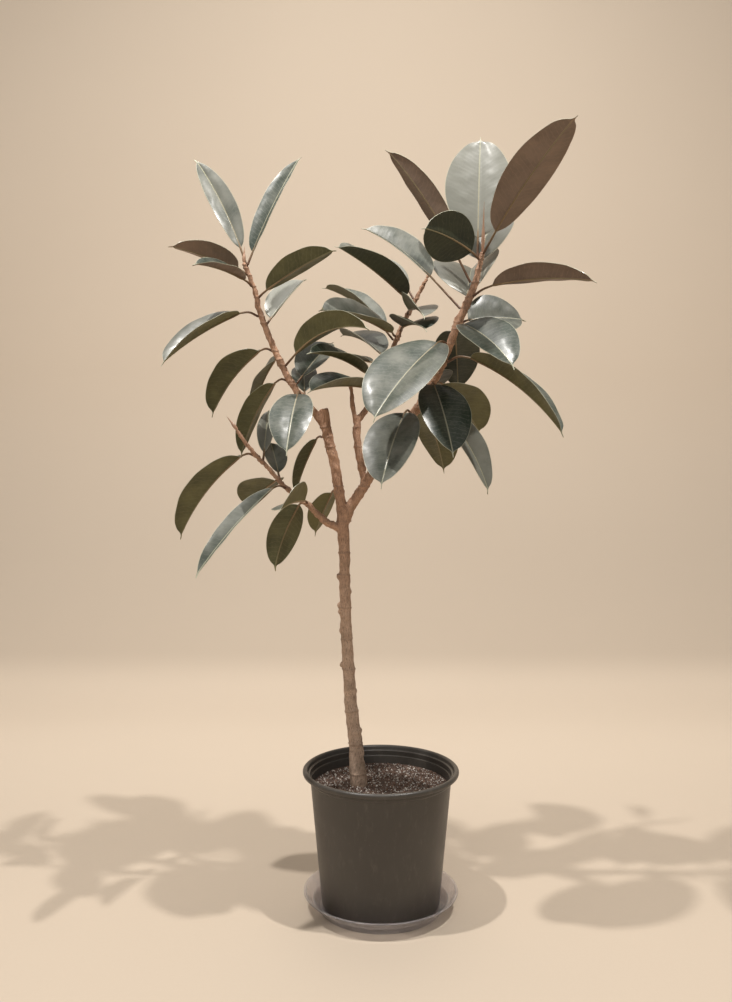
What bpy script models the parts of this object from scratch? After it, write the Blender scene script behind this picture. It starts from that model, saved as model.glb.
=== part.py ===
"""A potted rubber plant: nursery container on a clear saucer, soil, one forked woody
stem and its leaves, each leaf one closed blade with its petiole and drip tip.

Frame: metres, +Z up, +X to the plant's right, -Y toward its front.  The origin is on the
floor under the middle of the saucer.
"""

import math
from typing import NamedTuple

import bmesh
import bpy
from mathutils import Vector

# ---------------------------------------------------------------- clearances
GAP = 0.0003  # between pieces that touch
TOUCH = 0.0002  # a cutter reaches this far past the face that it cuts

# ---------------------------------------------------------------- saucer
SAUCER_RIM_RADIUS = 0.136
SAUCER_FOOT_RADIUS = 0.109
SAUCER_HEIGHT = 0.030
SAUCER_WALL = 0.0014
SAUCER_STEP = 0.0030  # ledge half-way up the sloping wall
SAUCER_ROLL = 0.0035  # width of the turned-out rim
SAUCER_RIB_INSET = 0.018  # the ring that the pot stands on is this far inside its foot
SAUCER_RIB_HEIGHT = 0.0020
SAUCER_RIB_CREST = 0.002  # half the width of the rib's flat top
SAUCER_RIB_FOOT = 0.004  # half the width of the rib at the floor

# ---------------------------------------------------------------- pot
POT_RIM_RADIUS = 0.137
POT_HEIGHT = 0.2433
POT_FOOT_RADIUS = 0.1040
POT_WALL = 0.0022
POT_FLOOR = 0.0025
POT_CORNER = 0.006  # radius of the round bottom edge
POT_LIP_DEPTH = 0.0085  # height of the rolled lip
POT_LIP_WIDTH = 0.0085  # how wide the lip is, seen from above
POT_LIP_ROUND = 0.0020  # size of the lip's rounded corners
POT_LIP_TURN = 0.0015  # how far the lip's lower and inner edges turn in
POT_LEDGE_WIDTH = 0.0025  # each of the two stacking ledges inside
POT_LEDGE_DROPS = (0.0080, 0.0170)  # how far each ledge is below the rim
DRAIN_HOLES = 5
DRAIN_RADIUS = 0.008
DRAIN_CIRCLE = 0.058

# ---------------------------------------------------------------- soil
SOIL_BELOW_RIM = 0.030
SOIL_MOUND = 0.003  # rise of the surface toward its middle
SOIL_SHOULDER = (0.55, 0.7)  # share of the radius, and of the mound, at the shoulder

# ---------------------------------------------------------------- mesh fineness
POT_SEGMENTS = 40
STEM_SIDES = 10
STEM_STEP = 0.022  # distance between rings along a stem

# ---------------------------------------------------------------- leaves
PETIOLE_RADIUS = 0.0019
BLADE_EDGE = 0.0010  # blade thickness at the margin
BLADE_RIB = 0.0026  # blade thickness over the midrib
DRIP_TIP = 0.010  # length of the narrow tip past the blade
DRIP_START = 0.0025  # half the drip tip's width where the blade ends
DRIP_END = 0.0008  # half its width at its end
DRIP_DROOP = 25.0  # how much steeper the drip tip hangs than the blade, in degrees
THIN_HALF_WIDTH = 0.005  # narrower rings than this have a thinner blade
THIN_SHARE = 0.6  # their share of the full thickness
LAUNCH_PITCH = 35.0  # a petiole leaves the stem at least this steeply
BLADE_STATIONS = (0.05, 0.15, 0.30, 0.45, 0.60, 0.75, 0.88, 0.96)
PETIOLE_STATIONS = (0.0, 0.5, 1.0)
BLADE_FULLNESS = 0.54  # smaller makes the ends of the blade rounder
BLADE_WIDEST = 0.95  # smaller moves the widest place toward the base


class Stem(NamedTuple):
    """A woody axis: its points are x, y, height above the soil and radius."""

    name: str
    points: tuple


class Leaf(NamedTuple):
    """One leaf, by where it grows and how it lies.

    height is where its petiole leaves the stem, above the soil.  heading is the compass
    direction it grows toward (0 = +X, 90 = +Y), pitch the blade's mean angle above level,
    bend how far it arches over from base to tip, roll how far its face tips to its own
    right, and fold how far each half is raised from flat.  Angles are in degrees.
    """

    name: str
    stem: str
    height: float
    heading: float
    pitch: float
    petiole: float
    length: float
    width: float
    bend: float
    roll: float
    fold: float


STEMS = (
    Stem("trunk", (
        (-0.036, -0.005, -0.060, 0.0120),
        (-0.039, -0.005, 0.000, 0.0160),
        (-0.040, -0.005, 0.018, 0.0145),
        (-0.042, -0.004, 0.044, 0.0130),
        (-0.045, -0.002, 0.084, 0.0125),
        (-0.052, 0.000, 0.138, 0.0112),
        (-0.057, 0.000, 0.218, 0.0104),
        (-0.061, 0.000, 0.288, 0.0100),
        (-0.064, 0.000, 0.418, 0.0098),
        (-0.066, 0.000, 0.458, 0.0110),
        (-0.065, 0.000, 0.488, 0.0105),
    )),
    Stem("left", (
        (-0.066, 0.000, 0.463, 0.0090),
        (-0.070, 0.000, 0.498, 0.0092),
        (-0.076, 0.000, 0.538, 0.0090),
        (-0.082, 0.000, 0.573, 0.0090),
        (-0.091, 0.000, 0.608, 0.0085),
        (-0.099, 0.000, 0.658, 0.0080),
    )),
    Stem("leader", (
        (-0.094, 0.000, 0.620, 0.0060),
        (-0.105, 0.000, 0.638, 0.0062),
        (-0.118, 0.000, 0.656, 0.0062),
        (-0.141, 0.005, 0.682, 0.0060),
        (-0.167, 0.010, 0.724, 0.0058),
        (-0.180, 0.010, 0.752, 0.0058),
        (-0.193, 0.010, 0.782, 0.0056),
        (-0.209, 0.010, 0.825, 0.0050),
        (-0.217, 0.010, 0.860, 0.0046),
        (-0.226, 0.010, 0.886, 0.0042),
        (-0.236, 0.010, 0.908, 0.0036),
    )),
    Stem("right", (
        (-0.062, 0.000, 0.463, 0.0088),
        (-0.055, 0.000, 0.486, 0.0092),
        (-0.040, 0.000, 0.508, 0.0090),
        (-0.021, 0.000, 0.538, 0.0085),
        (0.018, -0.010, 0.593, 0.0080),
        (0.051, -0.020, 0.643, 0.0075),
        (0.083, -0.030, 0.693, 0.0072),
        (0.104, -0.040, 0.738, 0.0070),
        (0.125, -0.050, 0.793, 0.0068),
        (0.149, -0.050, 0.848, 0.0062),
        (0.160, -0.045, 0.883, 0.0052),
        (0.168, -0.040, 0.916, 0.0042),
    )),
    Stem("middle", (
        (-0.027, 0.002, 0.523, 0.0060),
        (-0.036, 0.010, 0.568, 0.0066),
        (-0.042, 0.020, 0.608, 0.0068),
        (-0.041, 0.030, 0.638, 0.0064),
        (-0.022, 0.045, 0.663, 0.0054),
        (0.007, 0.070, 0.728, 0.0048),
        (0.034, 0.090, 0.798, 0.0044),
        (0.061, 0.100, 0.853, 0.0040),
        (0.084, 0.100, 0.896, 0.0034),
    )),
    Stem("spur", (
        (-0.042, 0.028, 0.626, 0.0045),
        (-0.049, 0.030, 0.663, 0.0040),
        (-0.053, 0.032, 0.703, 0.0032),
    )),
    Stem("low", (
        (-0.068, 0.000, 0.448, 0.0065),
        (-0.080, -0.005, 0.456, 0.0068),
        (-0.093, -0.010, 0.463, 0.0066),
        (-0.110, -0.015, 0.478, 0.0058),
        (-0.122, -0.020, 0.492, 0.0048),
        (-0.159, -0.020, 0.519, 0.0042),
        (-0.190, -0.020, 0.554, 0.0040),
        (-0.219, -0.020, 0.584, 0.0037),
        (-0.246, -0.020, 0.621, 0.0032),
    )),
)

LEAVES = (
    # left leader, from its tip down
    Leaf("leaf_left_01", "leader", 0.898, 152, 60, 0.040, 0.180, 0.048, 15, -45, 20),
    Leaf("leaf_left_02", "leader", 0.903, 38, 61, 0.025, 0.195, 0.050, 10, 15, 30),
    Leaf("leaf_left_03", "leader", 0.888, 220, 10, 0.020, 0.125, 0.055, 10, 20, 30),
    Leaf("leaf_left_04", "leader", 0.868, 235, 5, 0.020, 0.115, 0.045, 20, -20, 35),
    Leaf("leaf_left_05", "leader", 0.848, 325, 20, 0.020, 0.148, 0.055, 15, -30, 35),
    Leaf("leaf_left_06", "leader", 0.803, 55, 40, 0.015, 0.118, 0.065, 10, 0, 30),
    Leaf("leaf_left_07", "leader", 0.818, 210, -33, 0.035, 0.160, 0.075, 18, -5, 30),
    Leaf("leaf_left_08", "leader", 0.760, 145, -43, 0.030, 0.155, 0.080, 30, 0, 35),
    Leaf("leaf_left_09", "leader", 0.743, 115, -35, 0.020, 0.140, 0.050, 30, -50, 30),
    Leaf("leaf_left_10", "leader", 0.708, 140, -55, 0.035, 0.150, 0.055, 30, 10, 35),
    Leaf("leaf_left_11", "leader", 0.730, 325, 13, 0.030, 0.155, 0.065, 55, -30, 40),
    Leaf("leaf_left_12", "leader", 0.698, 50, 40, 0.020, 0.095, 0.070, 10, 20, 25),
    Leaf("leaf_left_13", "leader", 0.676, 95, 35, 0.015, 0.080, 0.050, 20, 0, 25),
    Leaf("leaf_left_14", "leader", 0.680, 262, -47, 0.025, 0.130, 0.075, 25, 0, 15),
    Leaf("leaf_left_15", "left", 0.611, 165, -68, 0.012, 0.100, 0.045, 15, 0, 35),
    # low branch on the left
    Leaf("leaf_low_01", "low", 0.568, 90, 40, 0.020, 0.110, 0.035, 10, 0, 30),
    Leaf("leaf_low_02", "low", 0.578, 155, -48, 0.030, 0.190, 0.085, 30, 0, 30),
    Leaf("leaf_low_03", "low", 0.523, 225, -40, 0.030, 0.200, 0.042, 15, -10, 35),
    Leaf("leaf_low_04", "low", 0.533, 130, -30, 0.015, 0.095, 0.090, 20, 0, 20),
    Leaf("leaf_low_05", "low", 0.538, 110, 45, 0.012, 0.070, 0.045, 10, 0, 25),
    Leaf("leaf_low_06", "low", 0.496, 250, -5, 0.012, 0.095, 0.075, 20, 40, 25),
    Leaf("leaf_low_07", "low", 0.496, 170, -68, 0.015, 0.115, 0.058, 20, 60, 15),
    Leaf("leaf_low_08", "left", 0.516, 130, -57, 0.012, 0.085, 0.055, 10, 0, 20),
    # middle leader
    Leaf("leaf_middle_01", "middle", 0.848, 225, 22, 0.020, 0.175, 0.085, 15, -20, 35),
    Leaf("leaf_middle_02", "middle", 0.858, 135, 50, 0.030, 0.070, 0.035, 10, 0, 20),
    Leaf("leaf_middle_03", "middle", 0.783, 148, 33, 0.030, 0.150, 0.070, 30, 0, 30),
    Leaf("leaf_middle_04", "middle", 0.788, 222, 10, 0.008, 0.165, 0.085, 25, -30, 25),
    Leaf("leaf_middle_05", "middle", 0.830, 280, -12, 0.015, 0.115, 0.075, 30, -20, 30),
    Leaf("leaf_middle_06", "middle", 0.800, 290, -8, 0.015, 0.100, 0.090, 30, 0, 20),
    Leaf("leaf_middle_07", "middle", 0.748, 125, 20, 0.020, 0.130, 0.080, 30, 0, 25),
    Leaf("leaf_middle_08", "middle", 0.733, 150, 10, 0.025, 0.060, 0.050, 10, 0, 20),
    Leaf("leaf_middle_09", "middle", 0.703, 225, 12, 0.030, 0.135, 0.060, 30, -20, 30),
    Leaf("leaf_middle_10", "middle", 0.688, 222, -5, 0.020, 0.122, 0.080, 20, -10, 30),
    # right leader, from its tip down
    Leaf("leaf_right_01", "right", 0.863, 172, 56, 0.070, 0.185, 0.055, 15, 45, 20),
    Leaf("leaf_right_02", "right", 0.903, 222, 12, 0.020, 0.110, 0.085, 20, 60, 10),
    Leaf("leaf_right_03", "right", 0.908, 80, 75, 0.032, 0.178, 0.115, 10, 0, 15),
    Leaf("leaf_right_04", "right", 0.888, 70, 45, 0.025, 0.140, 0.105, 15, 0, 20),
    Leaf("leaf_right_05", "right", 0.913, 300, 35, 0.045, 0.225, 0.078, 15, -20, 20),
    Leaf("leaf_right_06", "right", 0.820, 150, 36, 0.080, 0.155, 0.070, 20, -25, 30),
    Leaf("leaf_right_07", "right", 0.833, 80, 30, 0.020, 0.130, 0.140, 20, -8, 35),
    Leaf("leaf_right_08", "right", 0.843, 322, -3, 0.040, 0.175, 0.055, 20, -30, 30),
    Leaf("leaf_right_09", "right", 0.763, 225, -40, 0.020, 0.195, 0.125, 20, -15, 12),
    Leaf("leaf_right_10", "right", 0.648, 248, -47, 0.030, 0.155, 0.095, 20, 0, 15),
    Leaf("leaf_right_11", "right", 0.698, 283, -47, 0.015, 0.152, 0.088, 20, 0, 15),
    Leaf("leaf_right_12", "right", 0.698, 50, -35, 0.025, 0.140, 0.095, 25, 0, 20),
    Leaf("leaf_right_13", "right", 0.663, 65, -48, 0.020, 0.150, 0.085, 25, 0, 20),
    Leaf("leaf_right_14", "right", 0.663, 0, -60, 0.035, 0.155, 0.060, 25, 50, 25),
    Leaf("leaf_right_15", "right", 0.738, 325, -37, 0.045, 0.205, 0.085, 30, -12, 30),
    Leaf("leaf_right_16", "right", 0.803, 20, 3, 0.010, 0.100, 0.090, 15, 50, 15),
    Leaf("leaf_right_17", "right", 0.793, 300, -30, 0.015, 0.150, 0.085, 25, 20, 20),
    Leaf("leaf_right_18", "right", 0.786, 82, -36, 0.020, 0.150, 0.085, 15, 0, 20),
    Leaf("leaf_right_19", "right", 0.713, 85, -10, 0.015, 0.110, 0.060, 15, 0, 20),
)


KNOTS = (  # on the trunk: height above the soil, side (+1 right, -1 left), radius
    (0.167, 1, 0.0045),
    (0.213, -1, 0.0060),
    (0.318, -1, 0.0060),
    (0.341, 1, 0.0040),
    (0.368, -1, 0.0060),
)
KNOT_SUNK = 0.0015  # how deep a knot's middle lies under the bark


class BudSheath(NamedTuple):
    """A closed growing tip: the pointed pink sheath past the end of a stem."""

    name: str
    stem: str
    length: float
    radius: float
    heading: float
    pitch: float


BUDS = (
    BudSheath("bud_right", "right", 0.080, 0.0030, 270, 80),
    BudSheath("bud_middle", "middle", 0.030, 0.0026, 30, 60),
    BudSheath("bud_low", "low", 0.030, 0.0026, 180, 55),
    BudSheath("bud_left", "leader", 0.028, 0.0026, 60, 80),
)


BUD_SIDES = 8
BUD_PROFILE = (  # share of the length, share of the radius
    (0.0, 0.8),
    (0.25, 1.0),
    (0.6, 0.75),
    (0.9, 0.35),
    (1.0, 0.12),
)


# ---------------------------------------------------------------- heights that follow
def saucer_rib_radius():
    """Radius of the ring that the pot stands on, which follows the pot's foot."""
    return POT_FOOT_RADIUS - SAUCER_RIB_INSET


def saucer_floor_top():
    """Height of the ring that the pot stands on."""
    return SAUCER_WALL + SAUCER_RIB_HEIGHT


def pot_bottom():
    """Height of the pot's foot."""
    return saucer_floor_top() + GAP


def pot_top():
    """Height of the pot's rim."""
    return pot_bottom() + POT_HEIGHT


def soil_top():
    """Height of the soil's surface at its edge, where the plant's own heights start."""
    return pot_top() - SOIL_BELOW_RIM


# ---------------------------------------------------------------- small helpers
def clear_scene():
    """Remove every object."""
    for existing in list(bpy.data.objects):
        bpy.data.objects.remove(existing, do_unlink=True)


def finish(name, colour, roughness, alpha=1.0, transmission=0.0):
    """Return a Principled material."""
    material = bpy.data.materials.new(name)
    material.use_nodes = True
    shader = material.node_tree.nodes["Principled BSDF"]
    shader.inputs["Base Color"].default_value = (*colour, 1.0)
    shader.inputs["Roughness"].default_value = roughness
    shader.inputs["Metallic"].default_value = 0.0
    shader.inputs["Alpha"].default_value = alpha
    shader.inputs["Transmission Weight"].default_value = transmission
    return material


def add_object(name, mesh_edit, material, smooth_angle=40.0):
    """Turn a bmesh into a named object with one material."""
    bmesh.ops.recalc_face_normals(mesh_edit, faces=mesh_edit.faces)
    mesh = bpy.data.meshes.new(name)
    mesh_edit.to_mesh(mesh)
    mesh_edit.free()
    mesh.shade_smooth()
    mesh.set_sharp_from_angle(angle=math.radians(smooth_angle))
    made = bpy.data.objects.new(name, mesh)
    made.data.materials.append(material)
    bpy.context.scene.collection.objects.link(made)
    return made


def turned(outline, closed, segments=POT_SEGMENTS):
    """Spin a radius-height outline about Z.

    A closed outline makes a hollow ring; an open one starts and ends on the axis.
    """
    work = bmesh.new()
    rim = [work.verts.new((radius, 0.0, height)) for radius, height in outline]
    edges = [work.edges.new(pair) for pair in zip(rim, rim[1:])]
    if closed:
        edges.append(work.edges.new((rim[-1], rim[0])))
    bmesh.ops.spin(work, geom=rim + edges, cent=(0, 0, 0), axis=(0, 0, 1),
                   angle=math.tau, steps=segments, use_merge=True)
    bmesh.ops.remove_doubles(work, verts=work.verts, dist=0.00001)
    return work


def arc(centre, radius, start, end, steps):
    """Points on an arc in the radius-height plane, angles in degrees."""
    turns = [math.radians(start + (end - start) * i / steps) for i in range(steps + 1)]
    return [(centre[0] + radius * math.cos(a), centre[1] + radius * math.sin(a)) for a in turns]


def cut(target, cutter):
    """Subtract one object from another."""
    cutter.hide_render = True
    cutter.display_type = "WIRE"
    step = target.modifiers.new("cut_" + cutter.name, "BOOLEAN")
    step.operation = "DIFFERENCE"
    step.solver = "EXACT"
    step.object = cutter


# ---------------------------------------------------------------- saucer
def saucer_outline():
    """The saucer's section: flat foot, ribbed floor, stepped sloping wall, turned-out rim."""
    half = SAUCER_HEIGHT / 2.0
    slope = (SAUCER_RIM_RADIUS - SAUCER_ROLL - SAUCER_STEP - SAUCER_FOOT_RADIUS) / 2.0
    knee = SAUCER_FOOT_RADIUS + slope
    shelf = knee + SAUCER_STEP
    throat = shelf + slope
    outer = [
        (0.0, 0.0),
        (SAUCER_FOOT_RADIUS, 0.0),
        (knee, half),
        (shelf, half),
        (throat, SAUCER_HEIGHT - SAUCER_WALL),
        (SAUCER_RIM_RADIUS, SAUCER_HEIGHT - SAUCER_WALL),
    ]
    inner = [
        (SAUCER_RIM_RADIUS, SAUCER_HEIGHT),
        (throat - SAUCER_WALL, SAUCER_HEIGHT),
        (shelf - SAUCER_WALL, half + SAUCER_WALL),
        (knee - SAUCER_WALL, half + SAUCER_WALL),
        (SAUCER_FOOT_RADIUS - SAUCER_WALL, SAUCER_WALL),
    ]
    rib = [
        (saucer_rib_radius() + SAUCER_RIB_FOOT, SAUCER_WALL),
        (saucer_rib_radius() + SAUCER_RIB_CREST, saucer_floor_top()),
        (saucer_rib_radius() - SAUCER_RIB_CREST, saucer_floor_top()),
        (saucer_rib_radius() - SAUCER_RIB_FOOT, SAUCER_WALL),
    ]
    return outer + inner + rib + [(0.0, SAUCER_WALL)]


def make_saucer():
    """The clear plastic drip saucer."""
    clear = finish("clear_plastic", (0.80, 0.78, 0.76), 0.12, alpha=0.35, transmission=0.8)
    return add_object("saucer", turned(saucer_outline(), closed=False), clear)


# ---------------------------------------------------------------- pot
def pot_wall_top_radius():
    """Outer radius of the wall just under the lip."""
    return POT_RIM_RADIUS - POT_LIP_WIDTH - len(POT_LEDGE_DROPS) * POT_LEDGE_WIDTH


def pot_outline():
    """The pot's section, from the middle of its foot outward and back along the inside."""
    base = pot_bottom()
    top = pot_top()
    wall_top = pot_wall_top_radius()
    low, high = sorted(top - drop for drop in POT_LEDGE_DROPS)
    foot = [(0.0, base), (POT_FOOT_RADIUS - POT_CORNER, base)]
    corner = arc((POT_FOOT_RADIUS - POT_CORNER, base + POT_CORNER), POT_CORNER, -60, 0, 3)
    under_lip = [
        (wall_top, low - POT_WALL),
        (wall_top + POT_LEDGE_WIDTH, low),
        (wall_top + POT_LEDGE_WIDTH, high - POT_WALL),
    ]
    lip = [
        (POT_RIM_RADIUS - POT_LIP_TURN, top - POT_LIP_DEPTH),
        (POT_RIM_RADIUS, top - POT_LIP_DEPTH + POT_LIP_ROUND),
        (POT_RIM_RADIUS, top - POT_LIP_ROUND),
        (POT_RIM_RADIUS - POT_LIP_ROUND, top),
        (POT_RIM_RADIUS - POT_LIP_WIDTH + POT_LIP_ROUND, top),
        (POT_RIM_RADIUS - POT_LIP_WIDTH, top - POT_LIP_TURN),
    ]
    inside = [
        (wall_top + POT_LEDGE_WIDTH * 2 - POT_WALL * 0.5, high),
        (wall_top + POT_LEDGE_WIDTH - POT_WALL, high),
        (wall_top + POT_LEDGE_WIDTH - POT_WALL, low),
        (wall_top - POT_WALL, low),
        (POT_FOOT_RADIUS - POT_WALL, base + POT_CORNER),
        (POT_FOOT_RADIUS - POT_CORNER, base + POT_FLOOR),
        (0.0, base + POT_FLOOR),
    ]
    return foot + corner + under_lip + lip + inside


def make_drain_cutter():
    """The row of drainage holes through the pot's floor, as one cutter."""
    work = bmesh.new()
    depth = POT_FLOOR + 2.0 * TOUCH
    for index in range(DRAIN_HOLES):
        turn = math.tau * index / DRAIN_HOLES
        made = bmesh.ops.create_cone(work, cap_ends=True, segments=12, radius1=DRAIN_RADIUS,
                                     radius2=DRAIN_RADIUS, depth=depth)
        place = (DRAIN_CIRCLE * math.cos(turn), DRAIN_CIRCLE * math.sin(turn),
                 pot_bottom() + POT_FLOOR / 2.0)
        bmesh.ops.translate(work, verts=made["verts"], vec=place)
    return add_object("cutter_drain", work, finish("cutter", (1, 0, 0), 0.5))


def make_pot():
    """The black nursery container with its rolled lip, stacking ledges and drain holes."""
    plastic = finish("pot_plastic", (0.035, 0.031, 0.028), 0.45)
    pot = add_object("pot", turned(pot_outline(), closed=False), plastic)
    cut(pot, make_drain_cutter())
    return pot


# ---------------------------------------------------------------- stems
def smooth_route(points, step):
    """Read a Catmull-Rom curve through the points, as 4-vectors, about one step apart."""
    knots = [Vector(point) for point in points]
    ends = [knots[0] * 2 - knots[1]] + knots + [knots[-1] * 2 - knots[-2]]
    route = []
    for before, start, end, after in zip(ends, ends[1:], ends[2:], ends[3:]):
        count = max(1, round((end - start).length / step))
        for index in range(count):
            t = index / count
            bend = 2 * before - 5 * start + 4 * end - after
            twist = 3 * start - before - 3 * end + after
            route.append((2 * start + (end - before) * t + bend * t ** 2 + twist * t ** 3) / 2)
    return route + [knots[-1]]


def stem_named(name):
    """The stem with this name."""
    return next(stem for stem in STEMS if stem.name == name)


def place_on_stem(name, height):
    """Point, direction and radius of a stem at a height above the soil."""
    route = smooth_route(stem_named(name).points, STEM_STEP)
    for start, end in zip(route, route[1:]):
        if start.z <= height <= end.z:
            here = start.lerp(end, (height - start.z) / (end.z - start.z))
            return here.xyz, (end.xyz - start.xyz).normalized(), here.w
    raise ValueError(f"{name} does not reach {height}")


def loft(rings):
    """Close a body over rings of points by extruding one end face from ring to ring."""
    work = bmesh.new()
    face = work.faces.new([work.verts.new(point) for point in rings[0]])
    rows = [list(face.verts)]
    for ring in rings[1:]:
        face = bmesh.ops.extrude_discrete_faces(work, faces=[face])["faces"][0]
        for vert, point in zip(face.verts, ring):
            vert.co = point
        rows.append(list(face.verts))
    work.faces.new(reversed(rows[0]))
    return work, rows


def tube_rings(points, grow=0.0):
    """Rings of a tapered round tube; grow makes it fatter and longer all round."""
    route = smooth_route(points, STEM_STEP)
    ways = [(end.xyz - start.xyz).normalized() for start, end in zip(route, route[1:])]
    side = Vector((1.0, 0.0, 0.0))
    rings = []
    for index, here in enumerate(route):
        before = ways[max(index - 1, 0)]
        after = ways[min(index, len(ways) - 1)]
        ahead = (before + after).normalized()
        side = (side - ahead * side.dot(ahead)).normalized()
        other = ahead.cross(side)
        longer = (-grow if index == 0 else grow if index == len(ways) else 0.0)
        middle = here.xyz + ahead * longer + Vector((0.0, 0.0, soil_top()))
        turns = [math.tau * corner / STEM_SIDES for corner in range(STEM_SIDES)]
        rings.append([middle + (side * math.cos(turn) + other * math.sin(turn)) * (here.w + grow)
                      for turn in turns])
    return rings


def add_tube(name, points, material, grow=0.0):
    """A tapered round tube as an object."""
    work, _ = loft(tube_rings(points, grow))
    return add_object(name, work, material)


def make_knots(material):
    """The round scars of lost side shoots on the bare trunk, as one guide."""
    work = bmesh.new()
    for height, side, radius in KNOTS:
        middle, _, stem_radius = place_on_stem("trunk", height)
        made = bmesh.ops.create_icosphere(work, subdivisions=2, radius=radius)
        place = middle + Vector((side * (stem_radius - KNOT_SUNK), 0.0, soil_top()))
        bmesh.ops.translate(work, verts=made["verts"], vec=place)
    return add_object("guide_knots", work, material)


def make_wood():
    """The whole woody plant, which grew as one piece: trunk, forks, leaders and knots."""
    bark = finish("bark", (0.20, 0.115, 0.065), 0.75)
    wood = add_tube("trunk_and_branches", stem_named("trunk").points, bark)
    parts = [add_tube("guide_" + stem.name, stem.points, bark) for stem in STEMS[1:]]
    for part in parts + [make_knots(bark)]:
        part.hide_render = True
        part.display_type = "WIRE"
        join = wood.modifiers.new("join_" + part.name, "BOOLEAN")
        join.operation = "UNION"
        join.solver = "EXACT"
        join.object = part
    return wood


# ---------------------------------------------------------------- soil
def pot_inner_radius(height):
    """Inner radius of the pot's wall at a height between its corner and its ledges."""
    low = pot_bottom() + POT_CORNER
    high = pot_top() - max(POT_LEDGE_DROPS)
    part = (height - low) / (high - low)
    taper = pot_wall_top_radius() - POT_FOOT_RADIUS
    return POT_FOOT_RADIUS - POT_WALL + taper * part


def make_soil():
    """The potting mix, filling the pot to below its rim, with a pocket round the trunk."""
    mix = finish("potting_mix", (0.055, 0.035, 0.022), 0.95)
    floor = pot_bottom() + POT_FLOOR + GAP
    corner = pot_bottom() + POT_CORNER
    edge = pot_inner_radius(soil_top()) - GAP
    outline = [
        (0.0, floor),
        (POT_FOOT_RADIUS - POT_CORNER - GAP, floor),
        (pot_inner_radius(corner) - GAP, corner + GAP),
        (edge, soil_top()),
        (edge * SOIL_SHOULDER[0], soil_top() + SOIL_MOUND * SOIL_SHOULDER[1]),
        (0.0, soil_top() + SOIL_MOUND),
    ]
    soil = add_object("soil", turned(outline, closed=False), mix)
    cut(soil, add_tube("cutter_trunk", stem_named("trunk").points, mix, grow=GAP))
    return soil


# ---------------------------------------------------------------- leaves
def leaf_frame(heading, pitch, roll):
    """Directions along a blade, out to its right side and out of its upper face."""
    turn = math.radians(heading)
    rise = math.radians(pitch)
    lean = math.radians(roll)
    along = Vector((math.cos(rise) * math.cos(turn), math.cos(rise) * math.sin(turn),
                    math.sin(rise)))
    up = Vector((-math.sin(rise) * math.cos(turn), -math.sin(rise) * math.sin(turn),
                 math.cos(rise)))
    side = along.cross(up)
    face = up * math.cos(lean) + side * math.sin(lean)
    right = side * math.cos(lean) - up * math.sin(lean)
    return along, right, face


def petiole_ring(middle, right, face):
    """Six points round a petiole, in the order of a blade's ring."""
    turns = [math.radians(angle) for angle in (-60, 0, 60, 120, 180, 240)]
    return [middle + (face * math.cos(turn) + right * math.sin(turn)) * PETIOLE_RADIUS
            for turn in turns]


def blade_ring(middle, right, face, half_width, fold, thin):
    """Left, middle and right on the upper face, then right, middle and left underneath."""
    raised = math.radians(fold)
    edge_right = right * math.cos(raised) + face * math.sin(raised)
    edge_left = -right * math.cos(raised) + face * math.sin(raised)
    skin_right = face * math.cos(raised) - right * math.sin(raised)
    skin_left = face * math.cos(raised) + right * math.sin(raised)
    edge = BLADE_EDGE / 2.0 * thin
    rib = BLADE_RIB / 2.0 * thin
    far_right = middle + edge_right * half_width
    far_left = middle + edge_left * half_width
    return [far_left + skin_left * edge, middle + face * rib, far_right + skin_right * edge,
            far_right - skin_right * edge, middle - face * rib, far_left - skin_left * edge]


def blade_half_width(part):
    """Half the blade's width as a share of its widest, from base (0) to tip (1)."""
    return math.sin(math.pi * part ** BLADE_WIDEST) ** BLADE_FULLNESS


def leaf_start(leaf, launch):
    """Where a petiole leaves its stem, just clear of the bark."""
    middle, grows, radius = place_on_stem(leaf.stem, leaf.height)
    away = launch - grows * launch.dot(grows)
    lean = min(1.0, abs(launch.dot(grows)))
    outward = away.normalized()
    clear = radius + GAP + PETIOLE_RADIUS * lean
    return middle + outward * clear + Vector((0.0, 0.0, soil_top()))


def leaf_rings(leaf):
    """All the rings of a leaf: petiole, blade and drip tip."""
    base_pitch = leaf.pitch + leaf.bend / 2.0
    launch_pitch = max(base_pitch, LAUNCH_PITCH)
    stations = []
    for part in PETIOLE_STATIONS:
        pitch = launch_pitch + (base_pitch - launch_pitch) * part
        stations.append((leaf.petiole * part, pitch, leaf.roll * part, 0.0))
    for part in BLADE_STATIONS:
        pitch = base_pitch - leaf.bend * part
        half = leaf.width / 2.0 * blade_half_width(part)
        stations.append((leaf.petiole + leaf.length * part, pitch, leaf.roll, half))
    tip_pitch = base_pitch - leaf.bend
    stations.append((leaf.petiole + leaf.length, tip_pitch, leaf.roll, DRIP_START))
    reach = leaf.petiole + leaf.length + DRIP_TIP
    stations.append((reach, tip_pitch - DRIP_DROOP, leaf.roll, DRIP_END))

    launch, _, _ = leaf_frame(leaf.heading, launch_pitch, 0.0)
    middle = leaf_start(leaf, launch)
    travelled = 0.0
    before = launch
    rings = []
    for distance, pitch, roll, half in stations:
        along, right, face = leaf_frame(leaf.heading, pitch, roll)
        middle = middle + (before + along).normalized() * (distance - travelled)
        travelled = distance
        before = along
        if half == 0.0:
            rings.append(petiole_ring(middle, right, face))
        else:
            thin = 1.0 if half > THIN_HALF_WIDTH else THIN_SHARE
            rings.append(blade_ring(middle, right, face, half, leaf.fold, thin))
    return rings


def make_leaf(leaf, material):
    """One leaf; matching diagonals on both faces keep the thin blade's thickness."""
    work, rows = loft(leaf_rings(leaf))
    for start, end in zip(rows, rows[1:]):
        for rib, edge in ((1, 0), (1, 2), (4, 3), (4, 5)):
            bmesh.ops.connect_verts(work, verts=[start[rib], end[edge]])
    return add_object(leaf.name, work, material)


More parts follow.
